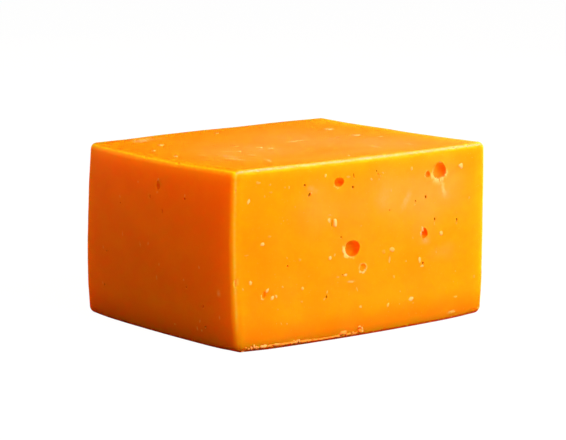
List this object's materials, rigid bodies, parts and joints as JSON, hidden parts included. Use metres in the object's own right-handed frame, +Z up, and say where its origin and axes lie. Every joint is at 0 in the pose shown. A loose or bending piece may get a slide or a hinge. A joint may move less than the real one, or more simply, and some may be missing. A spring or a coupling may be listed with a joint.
{
  "type": "cheddar cheese block",
  "caption": "Wire-cut rectangular block of orange cheddar with slightly bulging sides, softened edges, small gas eyes and a crumbled lower edge.",
  "frame": {"origin": "middle of the flat base, on the surface that the block stands on", "axes": "+X along the long side, +Y from the front face to the back, +Z up through the thickness"},
  "size_m": [0.102, 0.0865, 0.0563],
  "materials": {
    "cheddar": "waxy satin cheese, translucent near its edges"
  },
  "bodies": {
    "root": {"cheese_block": "cheddar"}
  },
  "joints": []
}
